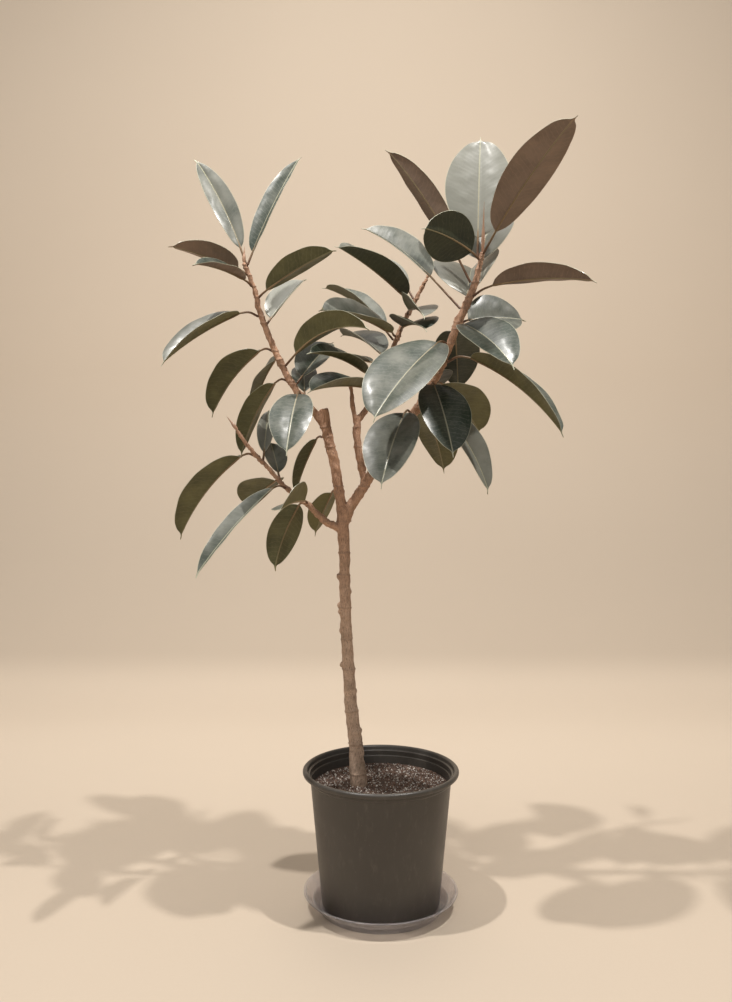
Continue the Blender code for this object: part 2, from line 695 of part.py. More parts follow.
def make_leaves():
    """Every leaf in the schedule."""
    green = finish("leaf", (0.045, 0.060, 0.035), 0.30)
    return [make_leaf(leaf, green) for leaf in LEAVES]


# ---------------------------------------------------------------- growing tips
def make_bud(bud, material):
    """One pointed sheath past the end of its stem."""
    end = Vector(stem_named(bud.stem).points[-1])
    last = Vector(stem_named(bud.stem).points[-2])
    grows = (end.xyz - last.xyz).normalized()
    along, right, face = leaf_frame(bud.heading, bud.pitch, 0.0)
    lean = math.sqrt(max(0.0, 1.0 - along.dot(grows) ** 2))
    start = end.xyz + grows * (GAP + bud.radius * lean) + Vector((0.0, 0.0, soil_top()))
    rings = []
    for part, share in BUD_PROFILE:
        middle = start + along * bud.length * part
        turns = [math.tau * corner / BUD_SIDES for corner in range(BUD_SIDES)]
        rings.append([middle + (right * math.cos(turn) + face * math.sin(turn)) * bud.radius * share
                      for turn in turns])
    work, _ = loft(rings)
    return add_object(bud.name, work, material)


def make_buds():
    """Every growing tip."""
    pink = finish("bud_sheath", (0.45, 0.24, 0.16), 0.4)
    return [make_bud(bud, pink) for bud in BUDS]


def build():
    """Build the whole plant on its saucer."""
    clear_scene()
    make_saucer()
    make_pot()
    make_soil()
    make_wood()
    make_leaves()
    make_buds()


build()
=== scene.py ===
"""Potted rubber plant: the fine visual model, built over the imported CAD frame.

Every leaf is read back from its CAD solid as a row of cross-sections and lofted again as a
thin blade with a keel and a petiole.  The wood is remeshed and given its bark and scars,
and the container, soil and saucer are turned again with fine sections.
"""

import logging
import math
import random
from dataclasses import dataclass, field
from enum import Enum

import bmesh
import bpy
from mathutils import Euler, Matrix, Vector, noise
from mathutils.bvhtree import BVHTree


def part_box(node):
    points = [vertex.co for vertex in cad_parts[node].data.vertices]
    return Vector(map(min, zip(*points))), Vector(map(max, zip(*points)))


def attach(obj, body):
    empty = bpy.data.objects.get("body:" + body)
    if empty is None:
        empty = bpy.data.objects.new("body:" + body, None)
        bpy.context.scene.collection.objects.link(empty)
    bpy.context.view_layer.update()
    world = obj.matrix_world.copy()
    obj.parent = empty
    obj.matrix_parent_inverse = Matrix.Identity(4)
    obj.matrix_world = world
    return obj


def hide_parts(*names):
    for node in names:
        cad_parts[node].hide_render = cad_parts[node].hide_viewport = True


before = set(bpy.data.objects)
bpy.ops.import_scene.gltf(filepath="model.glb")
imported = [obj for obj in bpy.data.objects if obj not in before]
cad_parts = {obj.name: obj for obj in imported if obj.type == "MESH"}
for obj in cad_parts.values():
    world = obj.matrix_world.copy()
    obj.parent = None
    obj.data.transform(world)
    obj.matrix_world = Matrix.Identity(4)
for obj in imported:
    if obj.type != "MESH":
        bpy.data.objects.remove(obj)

logging.basicConfig(level=logging.INFO, format="%(message)s")
log = logging.getLogger("rubber_plant")

BODY = "root"
WELD = 0.00001  # vertices nearer than this are one

# ---------------------------------------------------------------- leaf build, metres
BASE_REACH = 0.0043  # the six points of a petiole's first ring lie within this
BLADE_RINGS = 10  # eight blade sections, the tip ring and the drip end
BLADE_ROWS = 54
BLADE_COLUMNS = 22
BLADE_THICKNESS = 0.0007
PETIOLE_RADIUS = 0.0017
KEEL_END_RADIUS = 0.0004
KEEL_SIDES = 10
VEIN_SPACING = 0.0085  # between two side veins, along the midrib
VEIN_SLANT = 0.45
RIPPLE_HEIGHT = 0.00005
BUCKLE_HEIGHT = 0.0007

# ---------------------------------------------------------------- wood build, metres
WOOD_VOXEL = 0.0015
RIDGE_HEIGHT = 0.0011
SCAR_HEIGHT = 0.0012
KNOB_HEIGHT = 0.0075
SCAR_WIDTH = 0.0013
SCAR_REACH = 0.018
TRUNK_SCAR_SPACING = (0.030, 0.078)

# ---------------------------------------------------------------- container, metres
TURN_STEPS = 144
POT_WALL = 0.0022
POT_FLOOR = 0.0025
POT_CORNER = 0.006
LIP_DEPTH = 0.0085
LIP_WIDTH = 0.0085
LIP_ROUND = 0.0026
LEDGE_WIDTH = 0.0025
LEDGE_DROPS = (0.0170, 0.0080)
DRAIN_HOLES = 5
DRAIN_RADIUS = 0.008
DRAIN_CIRCLE = 0.058
SAUCER_WALL = 0.0014
SAUCER_STEP = 0.0030
SAUCER_ROLL = 0.0035
SAUCER_RIB = 0.086
SAUCER_RIB_HEIGHT = 0.0020

# ---------------------------------------------------------------- soil
SOIL_RINGS = 56
SOIL_ROUGHNESS = 0.0016
PERLITE_GRAINS = 1300
BARK_GRAINS = 1500


class LeafTone(Enum):
    """How old a leaf is, which sets the colour of its underside. The deep tone is partly a dark
    old underside and partly painted shade on leaves that sit in shade, and the pale tone also
    paints a silver sheen on the top.
    """

    BRONZE = "bronze"
    OLIVE = "olive"
    DEEP = "deep"
    PALE = "pale"


BRONZE_LEAVES = frozenset(
    ("leaf_left_03", "leaf_left_04", "leaf_right_01", "leaf_right_05", "leaf_right_08"))
# Deep leaves: dark old leaves, and leaves that sit in shade, where the dark underside is painted
# shade.
DEEP_AND_SHADED_LEAVES = frozenset(
    ("leaf_middle_01", "leaf_middle_07", "leaf_middle_08", "leaf_right_10", "leaf_right_18",
     "leaf_right_19", "leaf_middle_06", "leaf_right_02"))
# Pale leaves: their undersides are pale, and their raised tone also turns their tops to the
# painted silver sheen.
PALE_AND_SHEEN_LEAVES = frozenset(
    ("leaf_right_07", "leaf_left_06", "leaf_right_03", "leaf_right_04", "leaf_middle_02"))


# ---------------------------------------------------------------- shader building
class Graph:
    """A thin writer of shader nodes in one node tree."""

    def __init__(self, tree: bpy.types.NodeTree) -> None:
        self.tree = tree

    def put(self, socket: bpy.types.NodeSocket, value) -> None:
        """Link value into socket where it is a socket, or set it as the socket's constant."""
        if isinstance(value, bpy.types.NodeSocket):
            self.tree.links.new(value, socket)
        else:
            socket.default_value = value

    def add(self, kind: str, inputs: dict | None = None, **settings) -> bpy.types.Node:
        """Add a node.

        Args:
            kind: the node's type.
            inputs: socket name or index to its value or source.
            settings: the node's own properties.

        Returns:
            The new node.
        """
        node = self.tree.nodes.new(kind)
        for key, value in settings.items():
            setattr(node, key, value)
        for key, value in (inputs or {}).items():
            self.put(node.inputs[key], value)
        return node

    def calc(self, operation: str, *values, clamp: bool = False):
        """Return the output of a Math node."""
        node = self.tree.nodes.new("ShaderNodeMath")
        node.operation = operation
        node.use_clamp = clamp
        for index, value in enumerate(values):
            self.put(node.inputs[index], value)
        return node.outputs[0]

    def mix(self, factor, first, second, blend: str = "MIX"):
        """Return the colour output of a Mix node."""
        node = self.add("ShaderNodeMix", data_type="RGBA", blend_type=blend)
        for index, value in ((0, factor), (6, first), (7, second)):
            self.put(node.inputs[index], value)
        return node.outputs[2]

    def noise(self, vector, scale: float, detail: float = 4.0, roughness: float = 0.55):
        """Return the value output of a Noise Texture."""
        node = self.add("ShaderNodeTexNoise", {"Vector": vector, "Scale": scale,
                                               "Detail": detail, "Roughness": roughness})
        return node.outputs[0]

    def band(self, value, low: float, high: float, start: float = 0.0, end: float = 1.0):
        """Return value mapped smoothly from low..high to start..end."""
        node = self.add("ShaderNodeMapRange", {"Value": value, "From Min": low,
                                               "From Max": high, "To Min": start,
                                               "To Max": end},
                        interpolation_type="SMOOTHSTEP")
        return node.outputs[0]

    def stretched(self, vector, scale: tuple):
        """Return a vector scaled by axis."""
        return self.add("ShaderNodeMapping", {"Vector": vector, "Scale": scale}).outputs[0]

    def attribute(self, name: str):
        """Return the value of one of the mesh's own attributes."""
        return self.add("ShaderNodeAttribute", attribute_name=name).outputs["Fac"]

    def bump(self, height, distance: float, strength: float = 1.0, normal=None):
        """Return a bumped normal."""
        inputs = {"Height": height, "Distance": distance, "Strength": strength}
        if normal is not None:
            inputs["Normal"] = normal
        return self.add("ShaderNodeBump", inputs).outputs[0]


def rgb(red: float, green: float, blue: float) -> tuple:
    """Return a linear colour with full alpha."""
    return (red, green, blue, 1.0)


def new_material(name: str) -> tuple:
    """Return a material, its graph, its Principled shader and its object coordinates."""
    material = bpy.data.materials.new(name)
    material.use_nodes = True
    graph = Graph(material.node_tree)
    place = graph.add("ShaderNodeTexCoord").outputs["Object"]
    return material, graph, material.node_tree.nodes["Principled BSDF"], place


def blade_group() -> bpy.types.NodeTree:
    """Return the shared group that reads a blade's own attributes.

    It gives masks for the midrib, the side veins and the margin, and a height for bumps.
    """
    tree = bpy.data.node_groups.new("blade_pattern", "ShaderNodeTree")
    for name in ("Midrib", "Veins", "Margin", "Height"):
        tree.interface.new_socket(name=name, in_out="OUTPUT", socket_type="NodeSocketFloat")
    graph = Graph(tree)
    across = graph.calc("ABSOLUTE", graph.attribute("across"))
    along = graph.attribute("along")
    rim = graph.attribute("rim")
    place = graph.add("ShaderNodeTexCoord").outputs["Object"]
    waver = graph.noise(place, 55.0, 2.0)
    midrib = graph.band(across, 0.0006, 0.0014, 1.0, 0.0)
    slanted = graph.calc("SUBTRACT", along, graph.calc("MULTIPLY", across, VEIN_SLANT))
    slanted = graph.calc("ADD", slanted, graph.calc("MULTIPLY", waver, 0.013))
    wave = graph.calc("SINE", graph.calc("MULTIPLY", slanted, math.tau / VEIN_SPACING))
    veins = graph.band(wave, 0.86, 1.0)
    veins = graph.calc("MULTIPLY", veins, graph.band(rim, 0.0015, 0.006))
    margin = graph.band(rim, 0.0003, 0.0010, 1.0, 0.0)
    fine = graph.noise(place, 420.0, 3.0)
    height = graph.calc("ADD", graph.calc("MULTIPLY", wave, 0.16),
                        graph.calc("MULTIPLY", fine, 0.35))
    height = graph.calc("SUBTRACT", height, graph.calc("MULTIPLY", midrib, 1.2))
    out = graph.add("NodeGroupOutput")
    for name, value in (("Midrib", midrib), ("Veins", veins), ("Margin", margin),
                        ("Height", height)):
        graph.put(out.inputs[name], value)
    return tree


@dataclass(frozen=True)
class BladeFinish:
    """The colours of one side of a blade."""

    name: str
    light: tuple
    dark: tuple
    rib: tuple
    vein: tuple
    roughness: float
    coat: float

    def build(self, pattern: bpy.types.NodeTree) -> bpy.types.Material:
        """Return the material."""
        material, graph, shader, place = new_material(self.name)
        group = graph.add("ShaderNodeGroup", node_tree=pattern)
        # Mottle between the dark and the light colour, raised by the leaf's tone. On the top the
        # light colour is a painted silver sheen, so this mottle paints lit and shaded patches.
        tone = graph.calc("ADD", graph.calc("MULTIPLY", graph.noise(place, 26.0, 5.0), 0.75),
                          graph.calc("MULTIPLY", graph.attribute("tone"), 0.45))
        colour = graph.mix(graph.band(tone, 0.30, 0.85), self.dark, self.light)
        flecks = graph.band(graph.noise(place, 240.0, 6.0, 0.7), 0.48, 0.72)
        colour = graph.mix(graph.calc("MULTIPLY", flecks, 0.34), colour, self.vein)
        colour = graph.mix(graph.calc("MULTIPLY", group.outputs["Veins"], 0.34), colour,
                           self.vein)
        colour = graph.mix(graph.calc("MULTIPLY", group.outputs["Margin"], 0.75), colour,
                           self.rib)
        colour = graph.mix(graph.calc("MULTIPLY", group.outputs["Midrib"], 0.80), colour,
                           self.rib)
        graph.put(shader.inputs["Base Color"], colour)
        dull = graph.noise(place, 60.0, 4.0)
        graph.put(shader.inputs["Roughness"],
                  graph.band(dull, 0.25, 0.75, self.roughness - 0.05, self.roughness + 0.07))
        shader.inputs["Coat Weight"].default_value = self.coat
        shader.inputs["Coat Roughness"].default_value = 0.22
        graph.put(shader.inputs["Normal"], graph.bump(group.outputs["Height"], 0.00030, 0.38))
        return material


def petiole_material() -> bpy.types.Material:
    """Return the leaf stalks' and keels' finish: red-brown at the wood, pale under the blade."""
    material, graph, shader, place = new_material("petiole")
    share = graph.attribute("stalk")
    colour = graph.mix(graph.band(share, 0.0, 0.35), rgb(0.13, 0.060, 0.030),
                       rgb(0.30, 0.20, 0.10))
    colour = graph.mix(graph.band(share, 0.35, 1.0), colour, rgb(0.26, 0.23, 0.12))
    stripes = graph.noise(graph.stretched(place, (400.0, 400.0, 90.0)), 1.0, 4.0)
    colour = graph.mix(graph.calc("MULTIPLY", stripes, 0.45), colour, rgb(0.08, 0.045, 0.025))
    graph.put(shader.inputs["Base Color"], colour)
    graph.put(shader.inputs["Roughness"], graph.band(stripes, 0.2, 0.8, 0.34, 0.52))
    graph.put(shader.inputs["Normal"], graph.bump(stripes, 0.0003, 0.5))
    return material


def bark_material() -> bpy.types.Material:
    """Return the bark: pale grey-brown at the foot, darker red-brown in the upper wood."""
    material, graph, shader, place = new_material("fine_bark")
    height = graph.add("ShaderNodeSeparateXYZ", {"Vector": place}).outputs[2]
    low = graph.mix(graph.noise(place, 70.0, 6.0, 0.7), rgb(0.24, 0.150, 0.100),
                    rgb(0.95, 0.70, 0.52))
    high = graph.mix(graph.noise(place, 90.0, 6.0, 0.7), rgb(0.15, 0.068, 0.038),
                     rgb(0.80, 0.47, 0.29))
    colour = graph.mix(graph.band(height, 0.36, 0.78), low, high)
    streaks = graph.noise(graph.stretched(place, (900.0, 900.0, 130.0)), 1.0, 5.0, 0.7)
    colour = graph.mix(graph.band(streaks, 0.50, 0.68, 0.0, 0.80), colour,
                       rgb(0.045, 0.026, 0.018))
    specks = graph.noise(graph.stretched(place, (420.0, 420.0, 900.0)), 1.0, 3.0, 0.6)
    colour = graph.mix(graph.band(specks, 0.62, 0.72, 0.0, 0.65), colour,
                       rgb(0.44, 0.34, 0.25))
    colour = graph.mix(graph.calc("MULTIPLY", graph.attribute("scar"), 0.45), colour,
                       rgb(0.30, 0.20, 0.14))
    green = graph.band(graph.noise(place, 30.0, 3.0), 0.55, 0.75, 0.0, 0.35)
    colour = graph.mix(green, colour, rgb(0.13, 0.105, 0.055))
    # Darker low on the trunk, fading out a little above the soil line.
    low_trunk_darkening = graph.band(height, 0.214, 0.238, 1.0, 0.0)
    colour = graph.mix(graph.calc("MULTIPLY", low_trunk_darkening, 0.55), colour, rgb(0.075, 0.047, 0.032))
    graph.put(shader.inputs["Base Color"], colour)
    graph.put(shader.inputs["Roughness"], graph.band(streaks, 0.2, 0.8, 0.60, 0.86))
    rough = graph.calc("ADD", streaks, graph.calc("MULTIPLY", specks, 0.8))
    graph.put(shader.inputs["Normal"], graph.bump(rough, 0.0012, 0.9))
    return material


def pot_material() -> bpy.types.Material:
    """Return the container's warm charcoal plastic, with pale dust and spots."""
    material, graph, shader, place = new_material("fine_pot_plastic")
    cloud = graph.noise(place, 14.0, 6.0, 0.6)
    colour = graph.mix(cloud, rgb(0.043, 0.037, 0.031), rgb(0.070, 0.061, 0.051))
    dust = graph.noise(graph.stretched(place, (1.0, 1.0, 0.35)), 90.0, 6.0, 0.7)
    colour = graph.mix(graph.band(dust, 0.50, 0.80, 0.0, 0.30), colour,
                       rgb(0.16, 0.14, 0.115))
    spots = graph.add("ShaderNodeTexVoronoi", {"Vector": place, "Scale": 85.0}).outputs[0]
    colour = graph.mix(graph.band(spots, 0.0, 0.09, 0.35, 0.0), colour, rgb(0.20, 0.18, 0.15))
    graph.put(shader.inputs["Base Color"], colour)
    grain = graph.noise(place, 900.0, 2.0)
    graph.put(shader.inputs["Roughness"], graph.band(cloud, 0.3, 0.7, 0.34, 0.46))
    graph.put(shader.inputs["Normal"], graph.bump(grain, 0.0002, 0.25))
    return material


def saucer_material() -> bpy.types.Material:
    """Return the clear plastic with faint scuffs and water marks."""
    material, graph, shader, place = new_material("fine_clear_plastic")
    marks = graph.noise(place, 38.0, 6.0, 0.65)
    colour = graph.mix(marks, rgb(0.70, 0.66, 0.68), rgb(0.88, 0.85, 0.86))
    graph.put(shader.inputs["Base Color"], colour)
    graph.put(shader.inputs["Roughness"], graph.band(marks, 0.35, 0.75, 0.05, 0.18))
    graph.put(shader.inputs["Transmission Weight"], graph.band(marks, 0.4, 0.9, 0.86, 0.66))
    shader.inputs["IOR"].default_value = 1.46
    shader.inputs["Alpha"].default_value = 0.88
    graph.put(shader.inputs["Normal"],
              graph.bump(graph.noise(place, 160.0, 3.0), 0.0003, 0.2))
    return material


@dataclass(frozen=True)
class GrainFinish:
    """A rough mineral or bark finish."""

    name: str
    dark: tuple
    light: tuple
    scale: float
    roughness: float

    def build(self) -> bpy.types.Material:
        """Return the material."""
        material, graph, shader, place = new_material(self.name)
        coarse = graph.noise(place, self.scale, 6.0, 0.7)
        fine = graph.noise(place, self.scale * 7.0, 4.0, 0.7)
        colour = graph.mix(graph.band(coarse, 0.3, 0.7), self.dark, self.light)
        colour = graph.mix(graph.band(fine, 0.5, 0.8, 0.0, 0.6), colour, self.dark)
        graph.put(shader.inputs["Base Color"], colour)
        graph.put(shader.inputs["Roughness"],
                  graph.band(fine, 0.2, 0.8, self.roughness - 0.1, self.roughness))
        graph.put(shader.inputs["Normal"], graph.bump(fine, 0.0008, 0.7))
        return material


SOIL = GrainFinish("fine_soil", rgb(0.030, 0.019, 0.015), rgb(0.170, 0.110, 0.085), 160.0, 0.97)
PERLITE = GrainFinish("perlite", rgb(0.42, 0.37, 0.32), rgb(0.86, 0.82, 0.76), 260.0, 0.95)
BARK_BITS = GrainFinish("bark_bits", rgb(0.040, 0.023, 0.016), rgb(0.27, 0.165, 0.115), 110.0,
                        0.95)


def bud_material() -> bpy.types.Material:
    """Return the growing tips' pink and cream sheath."""
    material, graph, shader, place = new_material("fine_bud_sheath")
    stripes = graph.noise(graph.stretched(place, (700.0, 700.0, 60.0)), 1.0, 4.0)
    colour = graph.mix(stripes, rgb(0.30, 0.13, 0.085), rgb(0.62, 0.42, 0.28))
    graph.put(shader.inputs["Base Color"], colour)
    graph.put(shader.inputs["Roughness"], graph.band(stripes, 0.2, 0.8, 0.30, 0.45))
    graph.put(shader.inputs["Normal"], graph.bump(stripes, 0.0003, 0.4))
    return material


def stage_material() -> bpy.types.Material:
    """Return the studio paper: warm beige with a soft weave and slow unevenness, and painted shade
    that darkens the floor towards the camera and the backdrop low on its bend.
    """
    material, graph, shader, place = new_material("studio_paper")
    cloud = graph.noise(place, 0.9, 4.0, 0.5)
    colour = graph.mix(cloud, rgb(0.70, 0.590, 0.470), rgb(0.76, 0.650, 0.525))
    weave = graph.noise(graph.stretched(place, (1.0, 1.0, 6.0)), 160.0, 3.0)
    colour = graph.mix(graph.calc("MULTIPLY", weave, 0.10), colour, rgb(0.56, 0.46, 0.36))
    # Painted shade: the floor darkens towards the camera, and the backdrop darkens low on its bend
    # and lightens towards its top.
    parts = graph.add("ShaderNodeSeparateXYZ", {"Vector": place}).outputs
    floor = graph.band(parts[1], 0.2, 1.15, 0.52, 0.0)
    bend = graph.calc("MULTIPLY", graph.band(parts[2], 0.02, 0.10, 0.0, 0.55),
                      graph.band(parts[2], 0.25, 1.2, 1.0, 0.10))
    colour = graph.mix(graph.calc("ADD", floor, bend), colour, rgb(0.50, 0.415, 0.325))
    graph.put(shader.inputs["Base Color"], colour)
    graph.put(shader.inputs["Roughness"], graph.band(weave, 0.2, 0.8, 0.70, 0.80))
    return material


# ---------------------------------------------------------------- mesh building
def merged_copy(node: str) -> bmesh.types.BMesh:
    """Return a welded copy of a CAD node's mesh; the node itself is left alone."""
    work = bmesh.new()
    work.from_mesh(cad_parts[node].data)
    bmesh.ops.remove_doubles(work, verts=work.verts, dist=WELD)
    return work


def add_piece(name: str, work: bmesh.types.BMesh, materials: list,
              nodes: tuple = (), sharp: float = 40.0) -> bpy.types.Object:
    """Turn a bmesh into a piece that rides on the plant's one body.

    Args:
        name: the piece's name.
        work: its mesh, freed here.
        materials: its materials in slot order.
        nodes: the CAD nodes that it stands for.
        sharp: edges steeper than this many degrees stay sharp.

    Returns:
        The new object.
    """
    mesh = bpy.data.meshes.new(name)
    work.to_mesh(mesh)
    work.free()
    mesh.shade_smooth()
    mesh.set_sharp_from_angle(angle=math.radians(sharp))
    for material in materials:
        mesh.materials.append(material)
    piece = bpy.data.objects.new(name, mesh)
    bpy.context.scene.collection.objects.link(piece)
    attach(piece, BODY)
    if nodes:
        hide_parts(*nodes)
    log.info("%s: %d faces", name, len(mesh.polygons))
    return piece


def hermite(points: list, knots: list, at: float) -> Vector:
    """Return the smooth curve through points at one value of its parameter.

    Args:
        points: the vectors that the curve passes through.
        knots: the rising parameter of each point.
        at: where to read the curve.
    """
    last = len(points) - 1
    index = 0
    while index < last - 1 and at > knots[index + 1]:
        index += 1

    def slope(here: int) -> Vector:
        """Return the curve's slope at one of its points."""
        before, after = max(here - 1, 0), min(here + 1, last)
        return (points[after] - points[before]) / (knots[after] - knots[before])

    span = knots[index + 1] - knots[index]
    t = min(max((at - knots[index]) / span, 0.0), 1.0)
    return (points[index] * (2 * t ** 3 - 3 * t ** 2 + 1)
            + slope(index) * (span * (t ** 3 - 2 * t ** 2 + t))
            + points[index + 1] * (3 * t ** 2 - 2 * t ** 3)
            + slope(index + 1) * (span * (t ** 3 - t ** 2)))


def lengths_along(points: list) -> list:
    """Return how far along the line each point is."""
    total = [0.0]
    for before, after in zip(points, points[1:]):
        total.append(total[-1] + (after - before).length)
    return total


def add_tube(work: bmesh.types.BMesh, path: list, radii: list, sides: int,
             material: int = 0, flag: str = "") -> None:
    """Add a closed tube to a bmesh, as a grid wrapped round a line.

    Args:
        work: the mesh to add to.
        path: points along the middle.
        radii: the radius at each point.
        sides: how many faces go round.
        material: the tube's material index.
        flag: a float attribute that rises from 0 to 1 along the tube.
    """
    rows = len(path) - 1
    made = bmesh.ops.create_grid(work, x_segments=sides, y_segments=rows, size=1.0)["verts"]
    share = work.verts.layers.float.get(flag) if flag else None
    frames = []
    side = Vector((0.0, 0.0, 1.0))
    for index in range(rows + 1):
        ahead = (path[min(index + 1, rows)] - path[max(index - 1, 0)]).normalized()
        side = side - ahead * side.dot(ahead)
        if side.length < 0.01:
            side = ahead.orthogonal()
        side.normalize()
        frames.append((side.copy(), ahead.cross(side)))
    for vert in made:
        turn = (vert.co.x + 1.0) * math.pi
        row = round((vert.co.y + 1.0) / 2.0 * rows)
        out = frames[row][0] * math.cos(turn) + frames[row][1] * math.sin(turn)
        vert.co = path[row] + out * radii[row]
        if share is not None:
            vert[share] = row / rows
    faces = list({face for vert in made for face in vert.link_faces})
    bmesh.ops.remove_doubles(work, verts=made, dist=0.000002)
    faces = [face for face in faces if face.is_valid]
    edges = list({edge for face in faces for edge in face.edges if edge.is_boundary})
    faces += bmesh.ops.holes_fill(work, edges=edges, sides=0)["faces"]
    for face in faces:
        face.material_index = material
    bmesh.ops.recalc_face_normals(work, faces=faces)


def turned(outline: list, steps: int = TURN_STEPS) -> bmesh.types.BMesh:
    """Return an outline of radius and height, both ends on the axis, spun about Z."""
    work = bmesh.new()
    rim = [work.verts.new((radius, 0.0, height)) for radius, height in outline]
    edges = [work.edges.new(pair) for pair in zip(rim, rim[1:])]
    bmesh.ops.spin(work, geom=rim + edges, cent=(0, 0, 0), axis=(0, 0, 1),
                   angle=math.tau, steps=steps, use_merge=True)
    bmesh.ops.remove_doubles(work, verts=work.verts, dist=WELD)
    bmesh.ops.recalc_face_normals(work, faces=work.faces)
    return work


def rounded(outline: list, radius: float, steps: int = 3) -> list:
    """Return an outline with each inner corner rounded to at most one radius."""
    result = [outline[0]]
    for before, corner, after in zip(outline, outline[1:], outline[2:]):
        back = Vector(before) - Vector(corner)
        ahead = Vector(after) - Vector(corner)
        cut = min(radius, back.length * 0.42, ahead.length * 0.42)
        start = Vector(corner) + back.normalized() * cut
        end = Vector(corner) + ahead.normalized() * cut
        for step in range(steps + 1):
            t = step / steps
            point = (start * (1 - t) ** 2 + Vector(corner) * (2 * t * (1 - t)) + end * t ** 2)
            result.append((point.x, point.y))
    result.append(outline[-1])
    return result


def outer_radius(node: str, low: float, high: float) -> float:
    """Return a CAD node's largest radius between two heights."""
    work = merged_copy(node)
    found = max(math.hypot(v.co.x, v.co.y) for v in work.verts if low <= v.co.z <= high)
    work.free()
    return found


# ---------------------------------------------------------------- leaves
@dataclass
class Section:
    """One cross-section of a leaf: its two margins and its midrib."""

    left: Vector
    middle: Vector
    right: Vector


